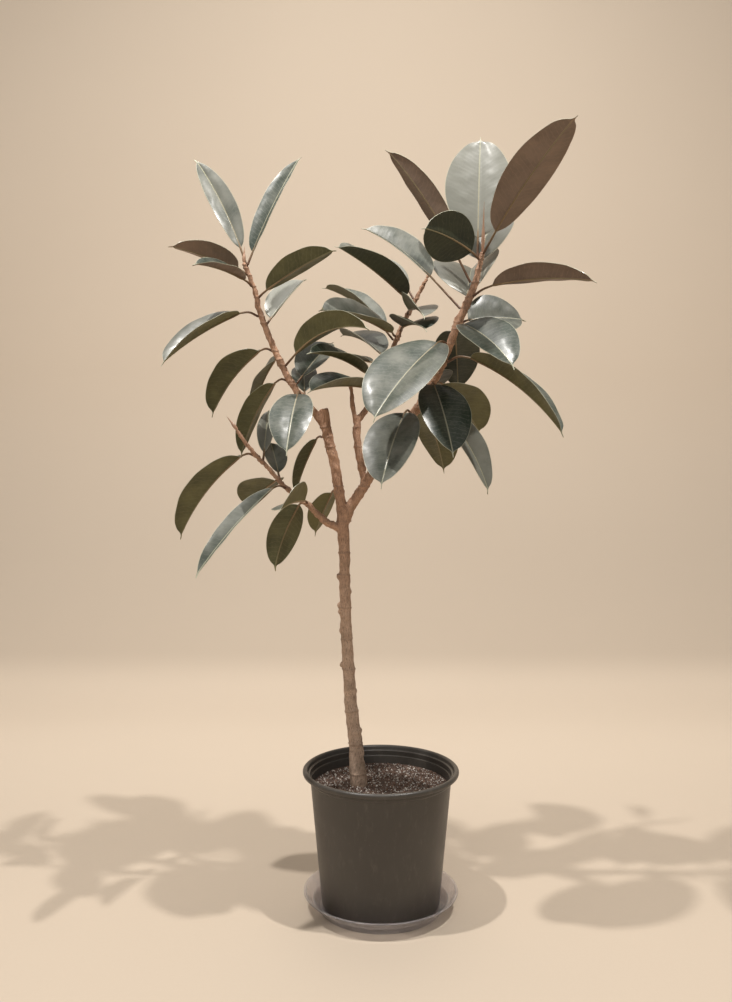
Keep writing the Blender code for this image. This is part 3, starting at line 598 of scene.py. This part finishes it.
@dataclass
class Leaf:
    """One leaf, read back from its CAD solid.

    Attributes:
        node: the CAD node's name.
        wood: the wood's surface, which tells the leaf's base from its tip.
        seed: sets the leaf's own small unevenness.
    """

    node: str
    wood: BVHTree
    seed: int
    base: Vector = field(init=False)
    stalk: list = field(init=False)
    sections: list = field(init=False)

    def __post_init__(self) -> None:
        """Read the base, the petiole's line and the blade's sections."""
        rings = self.read_rings()
        self.base = sum(rings[0], Vector()) / len(rings[0])
        stalk = rings[:-BLADE_RINGS]
        self.stalk = [sum(ring, Vector()) / len(ring) for ring in stalk]
        self.sections = self.read_sections(rings[-BLADE_RINGS:])

    @property
    def tone(self) -> LeafTone:
        """The leaf's age."""
        if self.node in BRONZE_LEAVES:
            return LeafTone.BRONZE
        if self.node in PALE_AND_SHEEN_LEAVES:
            return LeafTone.PALE
        return LeafTone.DEEP if self.node in DEEP_AND_SHADED_LEAVES else LeafTone.OLIVE

    def read_rings(self) -> list:
        """Return the solid's rings of points, from the petiole's base to the drip end."""
        work = merged_copy(self.node)
        start = min(work.verts, key=lambda v: self.wood.find_nearest(v.co)[3])
        ring = [v for v in work.verts if (v.co - start.co).length < BASE_REACH]
        seen = set(ring)
        rings = []
        while ring:
            rings.append([v.co.copy() for v in ring])
            near = {edge.other_vert(v) for v in ring for edge in v.link_edges}
            ring = [v for v in near if v not in seen]
            seen.update(ring)
        work.free()
        return rings

    def read_sections(self, rings: list) -> list:
        """Return the blade's sections, the first at the petiole's end."""
        found = []
        side = None
        for ring in rings[:-1]:
            first, second = max(((a, b) for a in ring for b in ring),
                                key=lambda pair: (pair[0] - pair[1]).length)
            if side is not None and (second - first).dot(side) < 0:
                first, second = second, first
            side = second - first
            left = sorted(ring, key=lambda p: (p - first).length)[:2]
            right = sorted(ring, key=lambda p: (p - second).length)[:2]
            middle = [p for p in ring if p not in left and p not in right] or ring
            found.append(Section(*(sum(g, Vector()) / len(g) for g in (left, middle, right))))
        ahead = (found[-1].middle - found[0].middle).normalized()
        rise = sum(((s.left + s.right) / 2 - s.middle for s in found), Vector())
        rise -= ahead * rise.dot(ahead)
        across = sum((s.right - s.left for s in found), Vector())
        if across.cross(ahead).dot(rise) < 0:
            found = [Section(s.right, s.middle, s.left) for s in found]
            across = -across
        thin = across.normalized()
        ends = []
        for middle, half in ((self.stalk[-1], PETIOLE_RADIUS),
                             (sum(rings[-1], Vector()) / len(rings[-1]), KEEL_END_RADIUS)):
            ends.append(Section(middle - thin * half, middle, middle + thin * half))
        return [ends[0], *found, ends[1]]

    def surface(self) -> tuple:
        """Smooth the sections into a surface.

        Returns:
            A function of a side ("left", "middle" or "right") and a share along the blade,
            which gives a point, and the blade's length.
        """
        middles = [s.middle for s in self.sections]
        knots = lengths_along(middles)
        length = knots[-1]

        def read(side: str, share: float) -> Vector:
            """Return the point of one side at a share along the blade."""
            return hermite([getattr(s, side) for s in self.sections], knots, share * length)

        return read, length

    def build(self, finishes: dict) -> bpy.types.Object:
        """Build the leaf.

        Args:
            finishes: materials by name.

        Returns:
            The leaf's object: blade, keel and petiole in one.
        """
        read, length = self.surface()
        work = bmesh.new()
        across, along, rim, tone, stalk = (
            work.verts.layers.float.new(n) for n in ("across", "along", "rim", "tone", "stalk"))
        chance = random.Random(self.seed)
        # The pale leaves take the highest tone, which lightens the underside and paints the top's
        # silver sheen; the other leaves vary at random.
        own_tone = 1.15 if self.tone is LeafTone.PALE else chance.uniform(0.0, 0.75)
        shift = Vector((self.seed * 1.7, self.seed * 0.9, self.seed * 2.3))
        bmesh.ops.create_grid(work, x_segments=BLADE_COLUMNS, y_segments=BLADE_ROWS, size=1.0)
        stations = []
        for row in range(BLADE_ROWS + 1):
            even = row / BLADE_ROWS
            share = 0.45 * even + 0.55 * (0.5 - 0.5 * math.cos(math.pi * even))
            left, middle, right = (read(side, share) for side in ("left", "middle", "right"))
            ahead = (read("middle", min(share + 0.01, 1.0))
                     - read("middle", max(share - 0.01, 0.0))).normalized()
            up = (right - left).cross(ahead).normalized()
            stations.append((share, left, middle, right, up))
        for vert in work.verts:
            u = vert.co.x
            share, left, middle, right, up = stations[
                round((vert.co.y + 1.0) / 2.0 * BLADE_ROWS)]
            edge = left if u < 0 else right
            half = (edge - middle).length
            reach = abs(u)
            run = share * length
            point = middle + (edge - middle) * reach
            belly = math.sin(math.pi * reach)
            phase = math.tau * (run - VEIN_SLANT * reach * half) / VEIN_SPACING
            lift = belly * half * 0.055
            lift += math.sin(phase) * RIPPLE_HEIGHT * belly * min(1.0, half / 0.015)
            lift += noise.noise(point * 75.0 + shift) * BUCKLE_HEIGHT * belly
            sway = noise.noise(point * 28.0 + shift)
            lift += sway * 0.0022 * reach ** 2 * min(1.0, half / 0.012)
            vert.co = point + up * lift
            vert[across] = u * half
            vert[along] = run
            vert[rim] = (1.0 - reach) * half
            vert[tone] = own_tone
        top_verts = set(work.verts)
        bmesh.ops.recalc_face_normals(work, faces=work.faces)
        facing = sum(f.normal.dot(stations[BLADE_ROWS // 2][4]) for f in work.faces)
        if facing < 0:
            bmesh.ops.reverse_faces(work, faces=work.faces)
        bmesh.ops.solidify(work, geom=list(work.faces), thickness=BLADE_THICKNESS)
        middle_up = stations[BLADE_ROWS // 2][4]
        first = [f for f in work.faces if all(v in top_verts for v in f.verts)]
        lean = sum(f.normal.dot(middle_up) for f in first)
        for face in work.faces:
            old = sum(v in top_verts for v in face.verts)
            whole = old in (0, len(face.verts))
            is_top = not whole or (old > 0) == (lean > 0)
            face.material_index = 0 if is_top else 1
        path, radii = self.stalk_line(stations)
        add_tube(work, path, radii, KEEL_SIDES, 2, "stalk")
        sides = [finishes["top"], finishes[self.tone.value], finishes["petiole"]]
        return add_piece("fine_" + self.node, work, sides, (self.node,), 50.0)

    def stalk_line(self, stations: list) -> tuple:
        """Return the petiole's and keel's points and radii."""
        knots = lengths_along(self.stalk)
        path = [hermite(self.stalk, knots, knots[-1] * step / 8) for step in range(8)]
        radii = [PETIOLE_RADIUS * (1.25 - 0.25 * step / 8) for step in range(8)]
        for share, _left, middle, _right, up in stations[::2]:
            if share > 0.94:
                break
            radius = PETIOLE_RADIUS * (1.0 - share) + KEEL_END_RADIUS * share
            path.append(middle - up * (radius * 0.80 * min(1.0, share * 12.0)))
            radii.append(radius)
        return path, radii


# The top: its dark colour is the leaf's own dark green, and its light colour is a painted silver
# sheen.
LEAF_TOP_AND_SHEEN = BladeFinish("leaf_top_and_sheen", rgb(0.225, 0.225, 0.190), rgb(0.022, 0.036, 0.022),
                       rgb(0.50, 0.50, 0.37), rgb(0.20, 0.21, 0.17), 0.44, 0.22)
UNDERSIDES = {
    LeafTone.BRONZE: BladeFinish("leaf_under_bronze", rgb(0.255, 0.175, 0.120),
                                 rgb(0.130, 0.088, 0.060), rgb(0.34, 0.24, 0.15),
                                 rgb(0.30, 0.19, 0.13), 0.52, 0.0),
    LeafTone.OLIVE: BladeFinish("leaf_under_olive", rgb(0.175, 0.160, 0.062),
                                rgb(0.070, 0.068, 0.024), rgb(0.26, 0.24, 0.12),
                                rgb(0.20, 0.18, 0.09), 0.55, 0.0),
    LeafTone.PALE: BladeFinish("leaf_under_pale", rgb(0.30, 0.29, 0.23),
                               rgb(0.19, 0.185, 0.145), rgb(0.46, 0.43, 0.31),
                               rgb(0.36, 0.35, 0.28), 0.44, 0.10),
    # The deep underside is partly an old leaf's dark colour and partly painted shade.
    LeafTone.DEEP: BladeFinish("leaf_under_deep_and_shaded", rgb(0.058, 0.064, 0.032),
                               rgb(0.026, 0.031, 0.018), rgb(0.21, 0.20, 0.11),
                               rgb(0.12, 0.12, 0.07), 0.55, 0.0),
}


@dataclass
class Crown:
    """All the leaves."""

    wood: BVHTree

    def build(self) -> list:
        """Build every leaf and return the points where they leave the wood."""
        pattern = blade_group()
        finishes = {"top": LEAF_TOP_AND_SHEEN.build(pattern), "petiole": petiole_material()}
        for tone, finish in UNDERSIDES.items():
            finishes[tone.value] = finish.build(pattern)
        bases = []
        names = sorted(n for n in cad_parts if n.startswith("leaf_"))
        for seed, name in enumerate(names):
            leaf = Leaf(name, self.wood, seed)
            leaf.build(finishes)
            bases.append(leaf.base)
        return bases


@dataclass
class Buds:
    """The closed growing tips."""

    wood: BVHTree

    def build(self) -> None:
        """Build each bud as a pointed sheath."""
        finish = bud_material()
        for name in sorted(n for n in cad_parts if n.startswith("bud_")):
            solid = merged_copy(name)
            points = [v.co.copy() for v in solid.verts]
            solid.free()
            start = min(points, key=lambda p: self.wood.find_nearest(p)[3])
            tip = max(points, key=lambda p: (p - start).length)
            near = [p for p in points if (p - start).length < (tip - start).length * 0.12]
            base = sum(near, Vector()) / len(near)
            line = tip - base
            wide = max((p - base - line * ((p - base).dot(line) / line.length_squared)).length
                       for p in points)
            steps = 26
            path = [base + line * (i / steps) for i in range(steps + 1)]
            radii = [max(wide * (0.62 + 0.38 * math.sin(math.pi * min(i / steps * 1.9, 1.0)))
                         * (1.0 - (i / steps) ** 2.2), 0.0002) for i in range(steps + 1)]
            work = bmesh.new()
            add_tube(work, path, radii, 16)
            add_piece("fine_" + name, work, [finish], (name,), 60.0)


# ---------------------------------------------------------------- wood
@dataclass
class Wood:
    """The trunk and branches, with bark ridges, ring scars and leaf scars.

    Attributes:
        bases: the points where leaves leave the wood.
    """

    bases: list

    def build(self) -> bpy.types.Object:
        """Build the wood's one piece."""
        node = "trunk_and_branches"
        rough = bpy.data.meshes.new("wood_rough")
        work = merged_copy(node)
        work.to_mesh(rough)
        work.free()
        holder = bpy.data.objects.new("wood_rough", rough)
        bpy.context.scene.collection.objects.link(holder)
        step = holder.modifiers.new("voxels", "REMESH")
        step.mode = "VOXEL"
        step.voxel_size = WOOD_VOXEL
        graph = bpy.context.evaluated_depsgraph_get()
        fine = bpy.data.meshes.new_from_object(holder.evaluated_get(graph))
        bpy.data.objects.remove(holder)
        work = bmesh.new()
        work.from_mesh(fine)
        for _ in range(5):
            bmesh.ops.smooth_vert(work, verts=work.verts, factor=0.5, use_axis_x=True,
                                  use_axis_y=True, use_axis_z=True)
        self.roughen(work)
        return add_piece("fine_" + node, work, [bark_material()], (node,), 80.0)

    def trunk_scars(self) -> list:
        """Return the heights of the old ring scars on the bare trunk."""
        chance = random.Random(11)
        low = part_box("soil")[1].z + 0.02
        high = min(base.z for base in self.bases)
        heights = []
        while low < high + 0.15:
            heights.append(low)
            low += chance.uniform(*TRUNK_SCAR_SPACING)
        return heights

    def roughen(self, work: bmesh.types.BMesh) -> None:
        """Raise ridges, rings and leaf scars on the wood."""
        work.normal_update()
        scar = work.verts.layers.float.new("scar")
        rings = self.trunk_scars()
        moves = []
        for vert in work.verts:
            p = vert.co
            grain = noise.noise(Vector((p.x * 420.0, p.y * 420.0, p.z * 70.0)))
            lumps = noise.noise(Vector((p.x * 120.0, p.y * 120.0, p.z * 90.0)) + Vector((9, 4, 2)))
            lift = grain * RIDGE_HEIGHT + lumps * RIDGE_HEIGHT * 1.2
            lift += max(0.0, noise.noise(p * 62.0 + Vector((5, 1, 8))) - 0.38) * KNOB_HEIGHT
            tilt = noise.noise(p * 60.0) * 0.0022
            ring = max((math.exp(-((p.z + tilt - z) / SCAR_WIDTH) ** 2) for z in rings),
                       default=0.0)
            if p.x < -0.11 or p.z > rings[-1]:
                ring = 0.0
            for base in self.bases:
                away = p - base
                if abs(away.z) < 0.006 and away.length < SCAR_REACH:
                    ring = max(ring, math.exp(-((away.z + tilt) / SCAR_WIDTH) ** 2))
            vert[scar] = ring
            moves.append(vert.normal * (lift + ring * SCAR_HEIGHT))
        for vert, move in zip(work.verts, moves):
            vert.co += move


# ---------------------------------------------------------------- container
@dataclass
class Container:
    """The nursery pot and its saucer."""

    def pot_outline(self) -> list:
        """Return the pot's section from the middle of its foot out and back inside."""
        low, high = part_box("pot")
        rim, base, top = high.x, low.z, high.z
        foot = outer_radius("pot", base, base + POT_CORNER * 1.2)
        wall = rim - LIP_WIDTH - len(LEDGE_DROPS) * LEDGE_WIDTH
        shelf = [top - drop for drop in LEDGE_DROPS]
        outside = [
            (0.0, base), (foot - POT_CORNER, base), (foot - POT_CORNER * 0.3, base + 0.0018),
            (foot, base + POT_CORNER), (wall, shelf[0] - POT_WALL),
            (wall + LEDGE_WIDTH, shelf[0]), (wall + LEDGE_WIDTH, shelf[1] - POT_WALL),
            (rim - 0.0012, top - LIP_DEPTH), (rim, top - LIP_DEPTH + LIP_ROUND),
            (rim, top - LIP_ROUND), (rim - LIP_ROUND, top)]
        inside = [
            (rim - LIP_WIDTH + LIP_ROUND, top), (rim - LIP_WIDTH, top - LIP_ROUND * 0.8),
            (wall + LEDGE_WIDTH * 2 - POT_WALL * 0.5, shelf[1]),
            (wall + LEDGE_WIDTH - POT_WALL, shelf[1]), (wall + LEDGE_WIDTH - POT_WALL, shelf[0]),
            (wall - POT_WALL, shelf[0]), (foot - POT_WALL, base + POT_CORNER),
            (foot - POT_CORNER, base + POT_FLOOR), (0.0, base + POT_FLOOR)]
        return rounded(outside + inside, 0.0012)

    def build_pot(self) -> None:
        """Build the pot with its drain holes."""
        pot = add_piece("fine_pot", turned(self.pot_outline()), [pot_material()],
                        ("pot",), 50.0)
        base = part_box("pot")[0].z
        drill = bmesh.new()
        for index in range(DRAIN_HOLES):
            turn = math.tau * index / DRAIN_HOLES
            place = Matrix.Translation((DRAIN_CIRCLE * math.cos(turn),
                                        DRAIN_CIRCLE * math.sin(turn), base))
            bmesh.ops.create_cone(drill, cap_ends=True, segments=32, radius1=DRAIN_RADIUS,
                                  radius2=DRAIN_RADIUS, depth=POT_FLOOR * 4, matrix=place)
        mesh = bpy.data.meshes.new("drain_drill")
        drill.to_mesh(mesh)
        drill.free()
        guide = bpy.data.objects.new("drain_drill", mesh)
        bpy.context.scene.collection.objects.link(guide)
        step = pot.modifiers.new("drain", "BOOLEAN")
        step.operation = "DIFFERENCE"
        step.solver = "EXACT"
        step.object = guide
        graph = bpy.context.evaluated_depsgraph_get()
        cut = bpy.data.meshes.new_from_object(pot.evaluated_get(graph))
        pot.modifiers.clear()
        pot.data = cut
        cut.set_sharp_from_angle(angle=math.radians(50.0))
        bpy.data.objects.remove(guide)

    def build_saucer(self) -> None:
        """Build the clear saucer."""
        low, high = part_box("saucer")
        rim, height = high.x, high.z
        foot = outer_radius("saucer", low.z, low.z + 0.001)
        half = height / 2
        slope = (rim - SAUCER_ROLL - SAUCER_STEP - foot) / 2
        knee, shelf = foot + slope, foot + slope + SAUCER_STEP
        throat = shelf + slope
        outline = [
            (0.0, 0.0), (foot, 0.0), (knee, half), (shelf, half), (throat, height - SAUCER_WALL),
            (rim, height - SAUCER_WALL), (rim, height), (throat - SAUCER_WALL, height),
            (shelf - SAUCER_WALL, half + SAUCER_WALL), (knee - SAUCER_WALL, half + SAUCER_WALL),
            (foot - SAUCER_WALL, SAUCER_WALL), (SAUCER_RIB + 0.004, SAUCER_WALL),
            (SAUCER_RIB + 0.002, SAUCER_WALL + SAUCER_RIB_HEIGHT),
            (SAUCER_RIB - 0.002, SAUCER_WALL + SAUCER_RIB_HEIGHT),
            (SAUCER_RIB - 0.004, SAUCER_WALL), (0.0, SAUCER_WALL)]
        add_piece("fine_saucer", turned(rounded(outline, 0.0009)), [saucer_material()],
                  ("saucer",), 60.0)

    def build(self) -> None:
        """Build both."""
        self.build_pot()
        self.build_saucer()


# ---------------------------------------------------------------- soil
@dataclass
class Soil:
    """The potting mix with its perlite and bark bits.

    Attributes:
        crest: the height in the middle.
        edge: the height at the pot's wall.
        radius: the surface's radius.
    """

    crest: float = field(init=False)
    edge: float = field(init=False)
    radius: float = field(init=False)

    def __post_init__(self) -> None:
        """Read the soil's size from its solid."""
        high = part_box("soil")[1]
        self.crest = high.z
        self.edge = high.z - 0.003
        self.radius = outer_radius("soil", high.z - 0.012, high.z)

    def surface(self, x: float, y: float) -> float:
        """Return the height of the soil's surface."""
        spread = math.hypot(x, y) / self.radius
        base = self.edge + (self.crest - self.edge) * max(0.0, 1.0 - spread ** 2)
        rough = noise.noise(Vector((x * 95.0, y * 95.0, 3.0)))
        rough += 0.6 * noise.noise(Vector((x * 260.0, y * 260.0, 7.0)))
        return base - SOIL_ROUGHNESS * 0.6 + rough * SOIL_ROUGHNESS * 0.75

    def build(self) -> None:
        """Build the soil and its grains."""
        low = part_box("soil")[0]
        foot = outer_radius("soil", low.z, low.z + 0.002)
        outline = [(0.0, low.z), (foot, low.z), (self.radius, self.edge - 0.004)]
        outline += [(self.radius * (1.0 - i / SOIL_RINGS), self.edge)
                    for i in range(SOIL_RINGS + 1)]
        work = turned(outline)
        for vert in work.verts:
            if vert.co.z > self.edge - 0.001:
                vert.co.z = self.surface(vert.co.x, vert.co.y)
        add_piece("fine_soil", work, [SOIL.build()], ("soil",), 70.0)
        self.grains("soil_perlite", PERLITE, PERLITE_GRAINS, (0.0006, 0.0021), 5)
        self.grains("soil_bark_bits", BARK_BITS, BARK_GRAINS, (0.0007, 0.0026), 6)

    def grains(self, name: str, finish: GrainFinish, count: int, sizes: tuple,
               seed: int) -> None:
        """Scatter grains over the soil as one piece."""
        chance = random.Random(seed)
        work = bmesh.new()
        for _ in range(count):
            away = (self.radius - 0.004) * math.sqrt(chance.random())
            turn = chance.uniform(0.0, math.tau)
            size = chance.uniform(*sizes) * chance.uniform(0.6, 1.0)
            x, y = away * math.cos(turn), away * math.sin(turn)
            place = Matrix.Translation((x, y, self.surface(x, y) + size * 0.25))
            spin = Euler([chance.uniform(0.0, math.tau) for _ in range(3)]).to_matrix().to_4x4()
            shape = Matrix.Diagonal((size * chance.uniform(0.8, 1.5), size,
                                     size * chance.uniform(0.5, 0.9), 1.0))
            made = bmesh.ops.create_icosphere(work, subdivisions=1, radius=1.0,
                                              matrix=place @ spin @ shape)["verts"]
            for vert in made:
                vert.co += Vector([chance.uniform(-1, 1) for _ in range(3)]) * size * 0.16
        add_piece(name, work, [finish.build()], (), 25.0)


# ---------------------------------------------------------------- stage, lights and camera
@dataclass(frozen=True)
class Lamp:
    """One soft light that looks at the crown."""

    name: str
    place: tuple
    size: float
    power: float
    colour: tuple

    def build(self, target: Vector) -> None:
        """Add the light to the scene."""
        data = bpy.data.lights.new(self.name, "AREA")
        data.shape = "DISK"
        data.size = self.size
        data.energy = self.power
        data.color = self.colour
        lamp = bpy.data.objects.new(self.name, data)
        lamp.location = self.place
        lamp.rotation_euler = (target - lamp.location).to_track_quat("-Z", "Y").to_euler()
        bpy.context.scene.collection.objects.link(lamp)


LAMPS = (
    Lamp("key_left", (-0.92, -0.42, 3.10), 0.075, 48.0, (1.0, 0.965, 0.925)),
    Lamp("key_right", (0.92, -0.52, 3.10), 0.075, 48.0, (1.0, 0.965, 0.925)),
    Lamp("front_soft", (-0.9, -3.0, 2.30), 1.80, 19.0, (1.0, 0.975, 0.95)),
    Lamp("paper_wash", (0.0, 0.95, 3.60), 2.40, 20.0, (1.0, 0.96, 0.91)),
)


@dataclass
class Stage:
    """Studio paper, lights, sky and camera."""

    def build(self) -> None:
        """Build the stage."""
        self.paper()
        target = Vector((0.0, 0.0, 0.75))
        for lamp in LAMPS:
            lamp.build(target)
        world = bpy.data.worlds.new("soft_room")
        world.use_nodes = True
        sky = world.node_tree.nodes["Background"]
        sky.inputs["Color"].default_value = rgb(1.0, 0.955, 0.90)
        sky.inputs["Strength"].default_value = 0.26
        bpy.context.scene.world = world
        bpy.context.scene.view_settings.view_transform = "Standard"
        self.camera()

    def paper(self) -> None:
        """Build the seamless floor and backdrop as one bent sheet."""
        depth, bend, near, wide, tall = 1.25, 1.1, -4.0, 6.0, 5.0
        profile = [(near, 0.0), (depth, 0.0)]
        for index in range(1, 17):
            turn = math.pi / 2 * index / 16
            profile.append((depth + bend * math.sin(turn), bend * (1 - math.cos(turn))))
        profile.append((depth + bend, tall))
        work = bmesh.new()
        rows = len(profile) - 1
        bmesh.ops.create_grid(work, x_segments=24, y_segments=rows, size=1.0)
        for vert in work.verts:
            y, z = profile[round((vert.co.y + 1.0) / 2.0 * rows)]
            vert.co = Vector((vert.co.x * wide, y, z))
        bmesh.ops.recalc_face_normals(work, faces=work.faces)
        mesh = bpy.data.meshes.new("studio_paper")
        work.to_mesh(mesh)
        work.free()
        mesh.shade_smooth()
        mesh.materials.append(stage_material())
        sheet = bpy.data.objects.new("studio_paper", mesh)
        bpy.context.scene.collection.objects.link(sheet)

    def camera(self) -> None:
        """Set the scene's camera: level with the low crown, tipped a little down."""
        data = bpy.data.cameras.new("front_camera")
        data.lens = 36.0
        data.sensor_width = 36.0
        data.dof.use_dof = False
        camera = bpy.data.objects.new("front_camera", data)
        camera.location = (-0.026, -1.73, 0.819)
        camera.rotation_euler = (math.radians(90.0 - 3.4), 0.0, 0.0)
        bpy.context.scene.collection.objects.link(camera)
        bpy.context.scene.camera = camera


def main() -> None:
    """Build the plant and its stage."""
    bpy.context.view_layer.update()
    solid = merged_copy("trunk_and_branches")
    wood = BVHTree.FromBMesh(solid)
    bases = Crown(wood).build()
    Buds(wood).build()
    solid.free()
    Wood(bases).build()
    Container().build()
    Soil().build()
    Stage().build()


if __name__ == "__main__":
    main()
